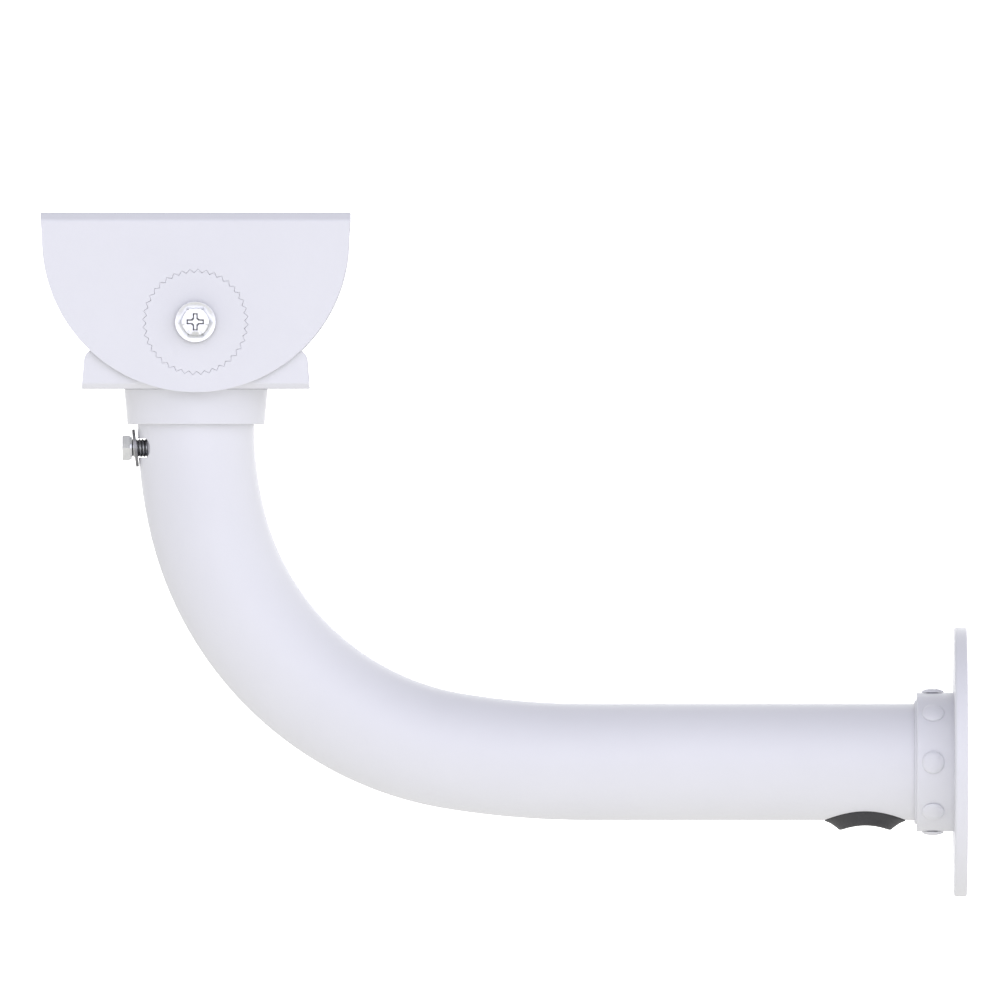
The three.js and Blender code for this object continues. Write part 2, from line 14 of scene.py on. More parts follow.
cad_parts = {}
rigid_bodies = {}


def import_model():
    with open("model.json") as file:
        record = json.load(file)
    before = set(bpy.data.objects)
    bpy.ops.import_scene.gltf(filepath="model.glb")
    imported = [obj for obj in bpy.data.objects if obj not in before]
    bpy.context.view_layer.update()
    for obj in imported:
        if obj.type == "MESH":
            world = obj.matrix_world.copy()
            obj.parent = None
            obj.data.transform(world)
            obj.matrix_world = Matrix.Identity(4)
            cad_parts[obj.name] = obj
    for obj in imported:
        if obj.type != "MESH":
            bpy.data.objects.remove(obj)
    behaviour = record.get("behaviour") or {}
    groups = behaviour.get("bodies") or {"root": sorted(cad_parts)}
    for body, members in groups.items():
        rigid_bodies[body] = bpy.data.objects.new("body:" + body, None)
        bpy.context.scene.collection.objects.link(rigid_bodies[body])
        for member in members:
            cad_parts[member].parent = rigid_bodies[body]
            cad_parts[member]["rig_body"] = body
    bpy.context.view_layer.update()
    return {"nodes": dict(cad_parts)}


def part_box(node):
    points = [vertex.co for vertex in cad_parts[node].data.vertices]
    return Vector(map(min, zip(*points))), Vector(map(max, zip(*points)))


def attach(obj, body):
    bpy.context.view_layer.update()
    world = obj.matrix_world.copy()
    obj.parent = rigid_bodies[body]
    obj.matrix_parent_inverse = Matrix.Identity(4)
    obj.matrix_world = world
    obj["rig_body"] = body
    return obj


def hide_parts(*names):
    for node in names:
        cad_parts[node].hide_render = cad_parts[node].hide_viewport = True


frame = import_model()

MM = 0.001
QUARTER = math.pi / 2
FULL = 2 * math.pi


def middle(node):
    """Centre of a CAD node's box, in millimetres."""
    low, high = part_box(node)
    return (low + high) / (2 * MM)


# Places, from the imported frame
SWIVEL_X = middle("swivel_neck").x
PIVOT_Z = middle("toothed_disc_front").z
LOCK_Z = middle("pan_lock_bolt").z
RIVET_X = middle("collar_rivet_3").x
CABLE_HOLE_X = middle("cable_grommet").x
SADDLE_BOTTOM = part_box("saddle")[0].z / MM
HEAD_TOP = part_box("tilt_channel")[1].z / MM
TUBE_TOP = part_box("arm_tube")[1].z / MM
TUBE_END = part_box("arm_tube")[1].x / MM
STEM_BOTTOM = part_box("swivel_neck")[0].z / MM

# General
GAP = 0.3  # clearance between neighbouring pieces
CUT = 1  # how far a cutter runs past the face that it cuts
SHARP = math.radians(40)  # edges above this angle are shaded as sharp

# Arm tube
TUBE_RADIUS = 22.225
TUBE_BORE = 19.225
TUBE_SIDES = 144
TUBE_RUN_STEPS = 40  # stations along the straight run
TUBE_STEPS_PER_DEGREE = 1.3
BENDS = ((156, 13.4), (116, 67.2), (313, 9.4))  # radius and sweep in degrees, from the neck down

# Cable hole and its grommet
CABLE_HOLE_HALF_LENGTH = 15.8
CABLE_HOLE_HALF_WIDTH = 12
OVAL_SIDES = 96
GROMMET_WALL = 2
GROMMET_FLANGE = 1.5  # how far the inner flange reaches past the hole
LIP_HEIGHT = 3.7
LIP_HALF_LENGTH = 10.4
LIP_HALF_WIDTH = 10.6

# Wall plate and its collar
PLATE_RADIUS = 51.4
PLATE_THICKNESS = 5
COLLAR_RADIUS = 26.5
COLLAR_FRONT = 19.3
GROOVE_WIDTH = 0.9  # round the foot of the collar
GROOVE_DEPTH = 0.6
MOUTH_LIP_WIDTH = 1.1  # raised ring round the collar's mouth
MOUTH_LIP_HEIGHT = 0.8
WALL_HOLE_RADIUS = 3.25
WALL_HOLE_CIRCLE = 41

# Rivets through collar and tube
RIVET_COUNT = 8
RIVET_SHANK = 2
RIVET_HEAD = 4.3
RIVET_HEAD_HEIGHT = 1.5
RIVET_TAIL = 3.1
RIVET_TAIL_HEIGHT = 1.2

# Neck, slot and lock bolt
NECK_BORE = 14.5
NECK_CLEARANCE = 0.03  # to the tube and the saddle, which touch a real neck
NECK_BOTTOM = TUBE_TOP + NECK_CLEARANCE
NECK_TOP = SADDLE_BOTTOM - NECK_CLEARANCE
NECK_BOTTOM_RADIUS = 26.2
NECK_TOP_RADIUS = 27.4
STEM_RADIUS = 17.9  # at its lower end; it widens upwards
STEM_STEP_HEIGHT = 3.5  # from its lower end to where the widening slows down
STEM_STEP = 0.5
STEM_WIDENING_AT_BOLT = 0.9
STEM_WIDENING = 1
SLOT_HALF_HEIGHT = 3.6
SLOT_HALF_ANGLE = math.radians(28.5)  # to the centre of each round end
SLOT_OVERCUT = 3  # how far the slot's cutter runs past the tube's wall
LOCK_HEAD_X = -24.4  # under the bolt's head, from the swivel axis
LOCK_LENGTH = 12
LOCK_SHANK = 3.5
LOCK_PITCH = 1.25
LOCK_WASHER_X = -23.1
LOCK_WASHER_RADIUS = 7.2
LOCK_WASHER_THICKNESS = 1.2
LOCK_WASHER_LEAN = math.radians(6.5)

# Hex screws and their washers and nuts
SHANK = 2.9
PITCH = 1
CLEARANCE = 3.3
HEX_ACROSS_FLATS = 9.7
HEX_FLAT = HEX_ACROSS_FLATS / 2
HEX_CORNER = HEX_FLAT * 2 / math.sqrt(3) + GAP
HEX_HEIGHT = 3.7
HEX_CHAMFER = math.radians(30)
HEAD_FACE = 1.08  # round faces of the head's top, its underside and the nut, in half widths
WASHER_FACE = 0.9
NUT_FACE = 0.96
NUT_THICKNESS = 5
SCREW_LENGTH = 16
SCREW_CROSS = (6.6, 1.9, 2, 0.52)  # span, width, depth and slope of the recess
WASHER_RADIUS = 7.8
WASHER_THICKNESS = 1.6
WASHER_DISH = 0.5
SPRING_RADIUS = 5.2
SPRING_WIRE = 1.2
SPRING_HALF_SPLIT = 0.6
SPRING_THICKNESS = 1.5  # with the rise from one end of the wire to the other
SPRING_STEPS = 90

# Saddle and head
SHEET = 3
SADDLE_HALF_LENGTH = 43.4
SADDLE_HALF_WIDTH = 30.5
SADDLE_BEND = 2
SADDLE_BEND_ROUND = 1.2
EAR_TOP_RADIUS = 21
EAR_SHOULDER_X = 42.5
EAR_SHOULDER_Z = 152.5
EAR_CORNER = 5
SADDLE_HOLE = 14
SADDLE_SCREW_CIRCLE = 21
SADDLE_SCREW_SHANK = 2.5
SADDLE_SCREW_HEAD = 4.6
SADDLE_SCREW_HEAD_HEIGHT = 2.3
SADDLE_SCREW_LENGTH = 11
SADDLE_SCREW_PITCH = 0.8
SADDLE_SCREW_CROSS = (4.6, 1.2, 1.6, 0.3)
HEAD_HALF_LENGTH = 59.1
HEAD_ARC_RADIUS = 58.4
HEAD_ARC_Z = 199.1
HEAD_HALF_WIDTH = 34
HEAD_BEND = 3.024
HEAD_BEND_ROUND = 2.2
CAMERA_SLOT_HALF_WIDTH = 3.5
CAMERA_SLOT_HALF_LENGTH = 17
CAMERA_SLOT_X = 31
TEETH = 40
TOOTH_ROOT = 18.7
TOOTH_TIP = 20.1
TOOTH_CLEARANCE = 0.035  # on each side of the line between disc and wall
FIRST_TIP = math.radians(6)

# Studio, in metres
FLOOR_HALF_SIZE = 12
FLOOR_Z = -0.45
VIEW_WIDTH = 0.381  # the object and its margins on both sides
VIEW_CENTRE_X = -0.1779
VIEW_CENTRE_Z = 0.0998
DISTANCE_IN_WIDTHS = 40  # far enough to see the object almost without perspective
SENSOR_WIDTH = 36
CLIP_END = 200
ROOM_LIGHT = 1.25

# The room's light along each axis: place from -1 to 1, level, and how much bluer than white
ROOM_Y = (
    (-1, 1.3, 1.12), (-0.93, 1.3, 1.15), (-0.5, 1.05, 1.11), (0, 0.95, 1.0), (0.3, 0.98, 1.0),
    (0.7, 1.08, 1.0), (0.93, 1.7, 1.0), (1, 1.75, 1.0),
)
ROOM_Z = ((0, 1, 1), (0.45, 1, 1), (0.7, 0.71, 1), (0.87, 0.37, 1), (1, 0.08, 1))
ROOM_X = (
    (-1, 0.85, 1), (-0.8, 0.35, 1), (-0.55, 0.55, 1), (-0.3, 1.02, 1), (0.35, 1.02, 1),
    (0.65, 0.72, 1), (1, 0.9, 1),
)


# Placing

def at(x, y, z):
    return Matrix.Translation((x, y, z))


def turn(angle, axis):
    return Matrix.Rotation(angle, 4, axis)


SIDEWAYS = turn(QUARTER, "X")  # takes an outline in X and Y to X and Z
ALONG_X = Matrix(((0, 0, 1, 0), (1, 0, 0, 0), (0, 1, 0, 0), (0, 0, 0, 1)))  # takes it to Y and Z
FROM_WALL = turn(-QUARTER, "Y")  # takes +Z to -X, out from the wall


# Outlines

def arc(cx, cy, radius, start, end, steps):
    """Points on an arc, both ends included."""
    return [
        (cx + radius * math.cos(a), cy + radius * math.sin(a))
        for a in (start + (end - start) * i / steps for i in range(steps + 1))
    ]


def rounded(corners, steps=6):
    """Closed outline from (x, y) or (x, y, radius) corners, with arcs of so many steps."""
    points = []
    for i, corner in enumerate(corners):
        here = Vector(corner[:2])
        radius = corner[2] if len(corner) > 2 else 0
        if not radius:
            points.append(tuple(here))
            continue
        came = (here - Vector(corners[i - 1][:2])).normalized()
        goes = (Vector(corners[(i + 1) % len(corners)][:2]) - here).normalized()
        angle = math.atan2(came.x * goes.y - came.y * goes.x, came.dot(goes))
        start = here - came * radius * math.tan(abs(angle) / 2)
        side = math.copysign(radius, angle)
        centre = start + Vector((-came.y, came.x)) * side
        first = math.atan2(start.y - centre.y, start.x - centre.x)
        points += arc(centre.x, centre.y, radius, first, first + angle, steps)
    return points


def stadium(half_length, half_width, steps=16):
    """Slot with round ends. Its length includes them."""
    run = half_length - half_width
    return [
        *arc(run, 0, half_width, -QUARTER, QUARTER, steps),
        *arc(-run, 0, half_width, QUARTER, 3 * QUARTER, steps),
    ]


def folded(half_width, height, bend, round_off):
    """Folded sheet seen end on: a floor with its underside at 0 and two walls up to a height.
    The bends are 45 degree faces with rounded ends."""
    inside = half_width - SHEET
    inner = bend + (math.sqrt(2) - 1) * SHEET
    right = [
        (half_width - bend, 0, round_off),
        (half_width, bend, round_off),
        (half_width, height),
        (inside, height),
        (inside, inner, inner - SHEET),
        (half_width - inner, SHEET, inner - SHEET),
    ]
    return rounded(right + [(-corner[0], *corner[1:]) for corner in right[::-1]])


def zigzag(offset):
    """One point outwards and one inwards for each tooth."""
    return [
        (radius * math.cos(angle), radius * math.sin(angle))
        for radius, angle in (
            ((TOOTH_TIP, TOOTH_ROOT)[i % 2] + offset, FIRST_TIP + i * math.pi / TEETH)
            for i in range(2 * TEETH)
        )
    ]


# Shapes: a shape is (points, faces)

def turned(profile, sides, closed=False):
    """Solid of revolution about Z from (radius, height) points. A closed profile makes a ring."""
    points, rings = [], []
    for radius, height in profile:
        if radius < 1e-6:
            rings.append([len(points)])
            points.append((0, 0, height))
        else:
            rings.append(range(len(points), len(points) + sides))
            for i in range(sides):
                a = FULL * i / sides
                points.append((radius * math.cos(a), radius * math.sin(a), height))
    return points, walls(rings, sides, closed)


def walls(rings, sides, closed):
    """Faces between neighbouring rings, and from the last to the first if closed. A ring of one
    point is a pole."""
    faces = []
    followers = [*rings[1:], rings[0]] if closed else rings[1:]
    for low, high in zip(rings, followers):
        for i in range(sides):
            j = (i + 1) % sides
            corners = (
                low[i % len(low)], low[j % len(low)], high[j % len(high)], high[i % len(high)],
            )
            face = list(dict.fromkeys(corners))
            if len(face) > 2:
                faces.append(face)
    return faces


def prism(outline, low, high):
    """Upright prism on an outline in X and Y."""
    count = len(outline)
    points = [(x, y, z) for z in (low, high) for x, y in outline]
    faces = [list(range(count))[::-1], list(range(count, 2 * count))]
    for i in range(count):
        j = (i + 1) % count
        faces.append([i, j, count + j, count + i])
    return points, faces


def bar(radius, low, high, sides=48):
    return prism(arc(0, 0, radius, 0, FULL, sides)[:-1], low, high)


def threaded(radius, pitch, low, high, sides=40, rows=10):
    """Upright threaded bar with a chamfered lower end and so many rows of faces to each turn."""
    depth = 0.4 * pitch
    tip = 1.2 * depth
    count = int((high - low) / pitch * rows)
    points = [(0, 0, low)]
    for row in range(count + 1):
        z = low + (high - low) * row / count
        for i in range(sides):
            phase = (z / pitch - i / sides) % 1
            groove = min(max(1.35 * (1 - abs(2 * phase - 1)) - 0.18, 0), 1)
            r = min(radius - depth * groove, radius - max(tip - (z - low), 0))
            a = FULL * i / sides
            points.append((r * math.cos(a), r * math.sin(a), z))
    points.append((0, 0, high))
    rings = [[0]]
    rings += [range(1 + row * sides, 1 + (row + 1) * sides) for row in range(count + 1)]
    rings.append([len(points) - 1])
    return points, walls(rings, sides, False)


def moved(shape, place):
    points, faces = shape
    return [place @ Vector(p) for p in points], faces


def merged(shapes):
    """Several shapes that don't touch, as one."""
    points, faces = [], []
    for more_points, more_faces in shapes:
        faces += [[len(points) + i for i in face] for face in more_faces]
        points += more_points
    return points, faces


# Objects

def build(name, shape, place=Matrix()):
    """Makes an object of a shape, with all its faces turned outwards."""
    points, faces = moved(shape, place)
    mesh = bpy.data.meshes.new(name)
    mesh.from_pydata([p * MM for p in points], [], faces)
    bm = bmesh.new()
    bm.from_mesh(mesh)
    bmesh.ops.recalc_face_normals(bm, faces=bm.faces)
    bm.to_mesh(mesh)
    bm.free()
    obj = bpy.data.objects.new(name, mesh)
    bpy.context.scene.collection.objects.link(obj)
    return obj


def apply(obj):
    """Turns what the modifiers give into the object's own mesh."""
    graph = bpy.context.evaluated_depsgraph_get()
    mesh = bpy.data.meshes.new_from_object(obj.evaluated_get(graph))
    obj.modifiers.clear()
    obj.data = mesh
    return obj


def combine(obj, shape, place=Matrix(), operation="DIFFERENCE"):
    """Cuts a shape from an object, or does another boolean operation with it."""
    tool = build("tool", shape, place)
    boolean = obj.modifiers.new("combine", "BOOLEAN")
    boolean.operation = operation
    boolean.solver = "EXACT"
    boolean.object = tool
    apply(obj)
    bpy.data.objects.remove(tool)
    return obj


def soften(obj, width, angle=35):
    """Rounds every edge that is sharper than the angle."""
    bevel = obj.modifiers.new("round edges", "BEVEL")
    bevel.width = width * MM
    bevel.segments = 2
    bevel.limit_method = "ANGLE"
    bevel.angle_limit = math.radians(angle)
    bevel.use_clamp_overlap = True
    return apply(obj)


def paint_shade(obj, place, is_shade_painted):
    """Paints shade: gives the darker zinc, which stands in for shade, to the faces for which the
    test of (radius, height, slope) is true, in the piece's own frame. The slope is the height part
    of the face's normal."""
    back = place.inverted()
    for face in obj.data.polygons:
        centre = back @ (face.center / MM)
        slope = (back.to_3x3() @ face.normal).z
        face.material_index = int(is_shade_painted(math.hypot(centre.x, centre.y), centre.z, slope))


def show(obj, node, material, *more):
    """Finishes a piece and lets it stand for its CAD node. Its main material comes first."""
    obj.name = "visual_" + node
    obj.data.name = obj.name
    obj.data.validate()  # a boolean can leave doubled faces
    for each in (material, *more):
        obj.data.materials.append(each)
    obj.data.polygons.foreach_set("use_smooth", [True] * len(obj.data.polygons))
    obj.data.set_sharp_from_angle(angle=SHARP)
    obj.modifiers.new("even normals", "WEIGHTED_NORMAL").keep_sharp = True
    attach(obj, frame["nodes"][node]["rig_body"])
    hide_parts(node)


# Materials

class Nodes:
    """A material's node tree, with short calls for what the materials here share."""

    def __init__(self, name):
        self.material = bpy.data.materials.new(name)
        self.material.use_nodes = True
        self.tree = self.material.node_tree
        self.shader = self.tree.nodes["Principled BSDF"]
        self.place = self.tree.nodes.new("ShaderNodeTexCoord").outputs["Object"]

    def link(self, a, b):
        self.tree.links.new(a, b)

    def noise(self, scale, detail=2, stretch=None):
        node = self.tree.nodes.new("ShaderNodeTexNoise")
        node.inputs["Scale"].default_value = scale
        node.inputs["Detail"].default_value = detail
        place = self.place
        if stretch:
            mapping = self.tree.nodes.new("ShaderNodeMapping")
            mapping.inputs["Scale"].default_value = stretch
            self.link(place, mapping.inputs["Vector"])
            place = mapping.outputs["Vector"]
        self.link(place, node.inputs["Vector"])
        return node.outputs["Fac"]

    def ramp(self, factor, low, high, colours):
        node = self.tree.nodes.new("ShaderNodeValToRGB")
        for element, position, colour in zip(node.color_ramp.elements, (low, high), colours):
            element.position = position
            element.color = (*colour, 1)
        self.link(factor, node.inputs["Fac"])
        return node.outputs["Color"]

    def spread(self, factor, low, high):
        """Takes a noise's usual values to a range."""
        node = self.tree.nodes.new("ShaderNodeMapRange")
        node.inputs["From Min"].default_value = 0.3
        node.inputs["From Max"].default_value = 0.7
        node.inputs["To Min"].default_value = low
        node.inputs["To Max"].default_value = high
        self.link(factor, node.inputs["Value"])
        return node.outputs["Result"]

    def bump(self, height, distance, strength, normal=None):
        node = self.tree.nodes.new("ShaderNodeBump")
        node.inputs["Strength"].default_value = strength
        node.inputs["Distance"].default_value = distance * MM
        self.link(height, node.inputs["Height"])
        if normal:
            self.link(normal, node.inputs["Normal"])
        return node.outputs["Normal"]

    def finish(self, colour, roughness, normal):
        self.link(colour, self.shader.inputs["Base Color"])
        self.link(roughness, self.shader.inputs["Roughness"])
        self.link(normal, self.shader.inputs["Normal"])
        return self.material


def paint_material():
    """White powder coat: a fine orange peel with a finer grain on it."""
    n = Nodes("white_powder_coat")
    peel = n.noise(620, 1)
    grain = n.noise(2600, 2)
    colour = n.ramp(n.noise(22, 3), 0.3, 0.7, ((0.79, 0.794, 0.826), (0.81, 0.814, 0.846)))
    normal = n.bump(grain, 0.02, 0.35, n.bump(peel, 0.05, 0.5))
    return n.finish(colour, n.spread(n.noise(900, 2), 0.36, 0.44), normal)


def zinc_material(name, colours, smoothest, roughest):
    """Zinc plate: faint mottling and fine rubbing marks."""
    n = Nodes(name)
    n.shader.inputs["Metallic"].default_value = 1
    marks = n.noise(1500, 3, (1, 1, 6))
    colour = n.ramp(n.noise(260, 3), 0.3, 0.7, colours)
    return n.finish(colour, n.spread(marks, smoothest, roughest), n.bump(marks, 0.01, 0.3))


def rubber_material():
    n = Nodes("dark_rubber")
    n.shader.inputs["Sheen Weight"].default_value = 0.1
    n.shader.inputs["Sheen Roughness"].default_value = 0.5
    grain = n.noise(1400, 3)
    colour = n.ramp(n.noise(120, 3), 0.3, 0.7, ((0.036, 0.036, 0.037), (0.05, 0.05, 0.052)))
    return n.finish(colour, n.spread(grain, 0.55, 0.7), n.bump(grain, 0.04, 0.4))


PAINT = paint_material()
ZINC = zinc_material("zinc_plate", ((0.72, 0.73, 0.74), (0.82, 0.825, 0.83)), 0.14, 0.24)
# Zinc painted much darker, as painted shade on thread roots, recess walls, chamfers and washer
# rims; also rougher
SHADE_PAINTED_ZINC = zinc_material("zinc_painted_shade", ((0.2, 0.2, 0.205), (0.32, 0.32, 0.325)), 0.35, 0.5)
RUBBER = rubber_material()


# Arm

def arm_stations():
    """(x, z, direction) along the tube's centreline, from its top to its end in the collar.
    The direction is how far the line has turned from straight down towards the wall."""
    bend = []
    x, z, first = SWIVEL_X, 0, 0
    for radius, sweep in BENDS:
        last = first + math.radians(sweep)
        steps = round(sweep * TUBE_STEPS_PER_DEGREE)
        for i in range(steps):
            a = first + (last - first) * i / steps
            bend.append((
                x + radius * (math.cos(first) - math.cos(a)),
                z - radius * (math.sin(a) - math.sin(first)),
                a,
            ))
        x += radius * (math.cos(first) - math.cos(last))
        z -= radius * (math.sin(last) - math.sin(first))
        first = last
    return [
        (SWIVEL_X, TUBE_TOP, 0),
        *[(bend_x, bend_z - z, a) for bend_x, bend_z, a in bend],
        *[(x + (TUBE_END - x) * i / TUBE_RUN_STEPS, 0, QUARTER) for i in range(TUBE_RUN_STEPS + 1)],
    ]


def swept_tube():
    """The pipe: out along its outside and back along its bore."""
    stations = arm_stations()
    points, rings = [], []
    for radius, run in ((TUBE_RADIUS, stations), (TUBE_BORE, stations[::-1])):
        for x, z, direction in run:
            rings.append(range(len(points), len(points) + TUBE_SIDES))
            for i in range(TUBE_SIDES):
                a = 2 * math.pi * i / TUBE_SIDES
                out = radius * math.cos(a)
                points.append((
                    x - out * math.cos(direction),
                    radius * math.sin(a),
                    z - out * math.sin(direction),
                ))
    return points, walls(rings, TUBE_SIDES, True)


def slot_tool():
    """Cutter for the swivel slot: cross-sections round the swivel axis, closed at both ends.
    A station is (angle, distance past it along the wall, half height)."""
    outer, inner = TUBE_RADIUS + SLOT_OVERCUT, TUBE_BORE - SLOT_OVERCUT
    start = [
        (-SLOT_HALF_ANGLE, -SLOT_HALF_HEIGHT * math.cos(a), SLOT_HALF_HEIGHT * math.sin(a))
        for a in (0.01, *(QUARTER * i / 12 for i in range(1, 12)))
    ]
    middle_run = [(SLOT_HALF_ANGLE * i / 10, 0, SLOT_HALF_HEIGHT) for i in range(-10, 11)]
    end = [(-angle, -past, height) for angle, past, height in start[::-1]]
    points, rings = [], []
    for angle, past, height in start + middle_run + end:
        rings.append(range(len(points), len(points) + 4))
        for radius, z in ((inner, -height), (outer, -height), (outer, height), (inner, height)):
            x = past * math.sin(angle) - radius * math.cos(angle)
            y = past * math.cos(angle) + radius * math.sin(angle)
            points.append((x, y, z))
    return points, [*walls(rings, 4, False), list(rings[0]), list(rings[-1])]


def rivet_places():
    return [at(RIVET_X, 0, 0) @ turn(i * FULL / RIVET_COUNT, "X") for i in range(RIVET_COUNT)]


def rivet_holes():
    hole = bar(RIVET_SHANK + GAP / 2, TUBE_BORE - CUT, COLLAR_RADIUS + CUT, 24)
    return merged([moved(hole, place) for place in rivet_places()])


def make_arm_tube():
    obj = build("arm", swept_tube())
    oval = [
        (x * CABLE_HOLE_HALF_LENGTH, y * CABLE_HOLE_HALF_WIDTH)
        for x, y in arc(0, 0, 1, 0, FULL, OVAL_SIDES)[:-1]
    ]
    combine(obj, prism(oval, -TUBE_RADIUS - CUT, -TUBE_RADIUS / 2), at(CABLE_HOLE_X, 0, 0))
    combine(obj, slot_tool(), at(SWIVEL_X, 0, LOCK_Z))
    combine(obj, rivet_holes())
    show(soften(obj, 0.35), "arm_tube", PAINT)


def make_wall_plate():
    bore = TUBE_RADIUS + GAP
    profile = rounded([
        (0, 0),
        (PLATE_RADIUS, 0, 0.7),
        (PLATE_RADIUS, PLATE_THICKNESS, 1.1),
        (COLLAR_RADIUS + GROOVE_WIDTH, PLATE_THICKNESS, 0.2),
        (COLLAR_RADIUS + GROOVE_WIDTH, PLATE_THICKNESS - GROOVE_DEPTH),
        (COLLAR_RADIUS, PLATE_THICKNESS - GROOVE_DEPTH),
        (COLLAR_RADIUS, COLLAR_FRONT, 0.5),
        (bore + MOUTH_LIP_WIDTH, COLLAR_FRONT - 0.2),
        (bore + MOUTH_LIP_WIDTH, COLLAR_FRONT + MOUTH_LIP_HEIGHT, 0.35),
        (bore, COLLAR_FRONT + MOUTH_LIP_HEIGHT, 0.15),
        (bore, PLATE_THICKNESS + GAP),
        (0, PLATE_THICKNESS + GAP),
    ])
    obj = build("plate", turned(profile, 160), FROM_WALL)
    hole = bar(WALL_HOLE_RADIUS, -CUT, PLATE_THICKNESS + CUT, 40)
    holes = merged([
        moved(hole, turn(QUARTER * (i + 0.5), "Z") @ at(WALL_HOLE_CIRCLE, 0, 0)) for i in range(4)
    ])
    combine(obj, holes, FROM_WALL)
    combine(obj, rivet_holes())
    show(soften(obj, 0.3), "wall_plate", PAINT)


def make_rivets():
    """Rivets with an elliptical dome outside the collar and a flat tail inside the tube."""
    base, top = COLLAR_RADIUS + 0.05, COLLAR_RADIUS + RIVET_HEAD_HEIGHT
    tail_top = TUBE_BORE - 2 * GAP
    profile = [
        *rounded([
            (0, tail_top - RIVET_TAIL_HEIGHT),
            (RIVET_TAIL, tail_top - RIVET_TAIL_HEIGHT, 0.5),
            (RIVET_TAIL, tail_top),
            (RIVET_SHANK, tail_top),
            (RIVET_SHANK, base),
        ]),
        *[(RIVET_HEAD * math.cos(a), base + (top - base) * math.sin(a))
          for a in (QUARTER * i / 12 for i in range(12))],
        (0, top),
    ]
    for i, place in enumerate(rivet_places()):
        show(build("rivet", turned(profile, 40), place), f"collar_rivet_{i + 1}", PAINT)


def make_grommet():
    """Ring of ovals, each laid on a cylinder about the arm's axis:
    (half length along the arm, half width across it, radius of the cylinder)."""
    long, wide = CABLE_HOLE_HALF_LENGTH - GAP, CABLE_HOLE_HALF_WIDTH - GAP
    lip = TUBE_RADIUS + LIP_HEIGHT
    flange = TUBE_BORE - GAP
    flange_end = long + GROMMET_FLANGE
    flange_side = wide + GROMMET_FLANGE
    ovals = [
        # the lip below the tube, from its mouth outwards
        (LIP_HALF_LENGTH - GROMMET_WALL, LIP_HALF_WIDTH - GROMMET_WALL, lip - 0.5),
        (8.7, 8.9, lip - 0.1),
        (9.4, 9.6, lip),
        (10.1, 10.3, lip - 0.1),
        (LIP_HALF_LENGTH, LIP_HALF_WIDTH, lip - 0.5),
        (11.3, 10.9, lip - 1.2),
        (13.2, 11.3, TUBE_RADIUS + 1.2),
        # the hole in the tube
        (long - 0.2, wide, TUBE_RADIUS + 0.3),
        (long, wide, TUBE_RADIUS - 0.2),
        (long, wide, flange),
        # the flange inside the tube
        (long + 1.2, wide + 1.2, flange),
        (flange_end, flange_side, flange - 0.3),
        (flange_end, flange_side, flange - 1.2),
        (long + 1.2, wide + 1.2, flange - 1.5),
        # the bore for the cable
        (long - 1.5, wide - 1.5, flange - 1.5),
        (long - GROMMET_WALL, wide - GROMMET_WALL, flange - 1),
        (long - GROMMET_WALL, wide - GROMMET_WALL, TUBE_RADIUS),
        (9.6, 9.2, lip - 2),
    ]
    points, rings = [], []
    for half_length, half_width, radius in ovals:
        rings.append(range(len(points), len(points) + OVAL_SIDES))
        for i in range(OVAL_SIDES):
            a = FULL * i / OVAL_SIDES
            y = half_width * math.sin(a)
            points.append((half_length * math.cos(a), y, -math.sqrt(radius ** 2 - y ** 2)))
    obj = build("grommet", (points, walls(rings, OVAL_SIDES, True)), at(CABLE_HOLE_X, 0, 0))
    show(obj, "cable_grommet", RUBBER)


# Swivel

def make_neck():
    profile = rounded([
        (NECK_BORE, STEM_BOTTOM, 0.4),
        (STEM_RADIUS, STEM_BOTTOM, 0.6),
        (STEM_RADIUS + STEM_STEP, STEM_BOTTOM + STEM_STEP_HEIGHT),
        (STEM_RADIUS + STEM_WIDENING_AT_BOLT, LOCK_Z),
        (STEM_RADIUS + STEM_WIDENING, NECK_BOTTOM),
        (NECK_BOTTOM_RADIUS, NECK_BOTTOM, 0.5),
        (NECK_TOP_RADIUS, NECK_TOP, 0.3),
        (NECK_BORE, NECK_TOP, 0.3),
    ])
    obj = build("neck", turned(profile, 144, True), at(SWIVEL_X, 0, 0))
    lock_hole = bar(LOCK_SHANK + GAP, NECK_BORE - CUT, STEM_RADIUS + CUT, 32)
    combine(obj, lock_hole, at(SWIVEL_X, 0, LOCK_Z) @ FROM_WALL)
    bottom = SADDLE_BOTTOM + SHEET - SADDLE_SCREW_LENGTH - GAP
    hole = bar(SADDLE_SCREW_SHANK + GAP / 2, bottom, NECK_TOP + CUT, 24)
    combine(obj, merged([moved(hole, place) for place in saddle_screw_places(0)]))
    show(obj, "swivel_neck", PAINT)


def saddle_screw_places(z):
    """Places of the four saddle screws, at a height."""
    return [
        at(SWIVEL_X, 0, z) @ turn(QUARTER * (i + 0.5), "Z") @ at(SADDLE_SCREW_CIRCLE, 0, 0)
        for i in range(4)
    ]


def ear_outline():
    """The saddle seen from the side, as (x, z) from the swivel axis."""
    tangent = QUARTER / 2
    side = EAR_SHOULDER_X - EAR_CORNER
    return [
        (-SADDLE_HALF_LENGTH, SADDLE_BOTTOM),
        (SADDLE_HALF_LENGTH, SADDLE_BOTTOM),
        *arc(side, EAR_SHOULDER_Z, EAR_CORNER, 0, tangent, 12),
        *arc(0, PIVOT_Z, EAR_TOP_RADIUS, tangent, 2 * QUARTER - tangent, 48),
        *arc(-side, EAR_SHOULDER_Z, EAR_CORNER, 2 * QUARTER - tangent, 2 * QUARTER, 12),
    ]


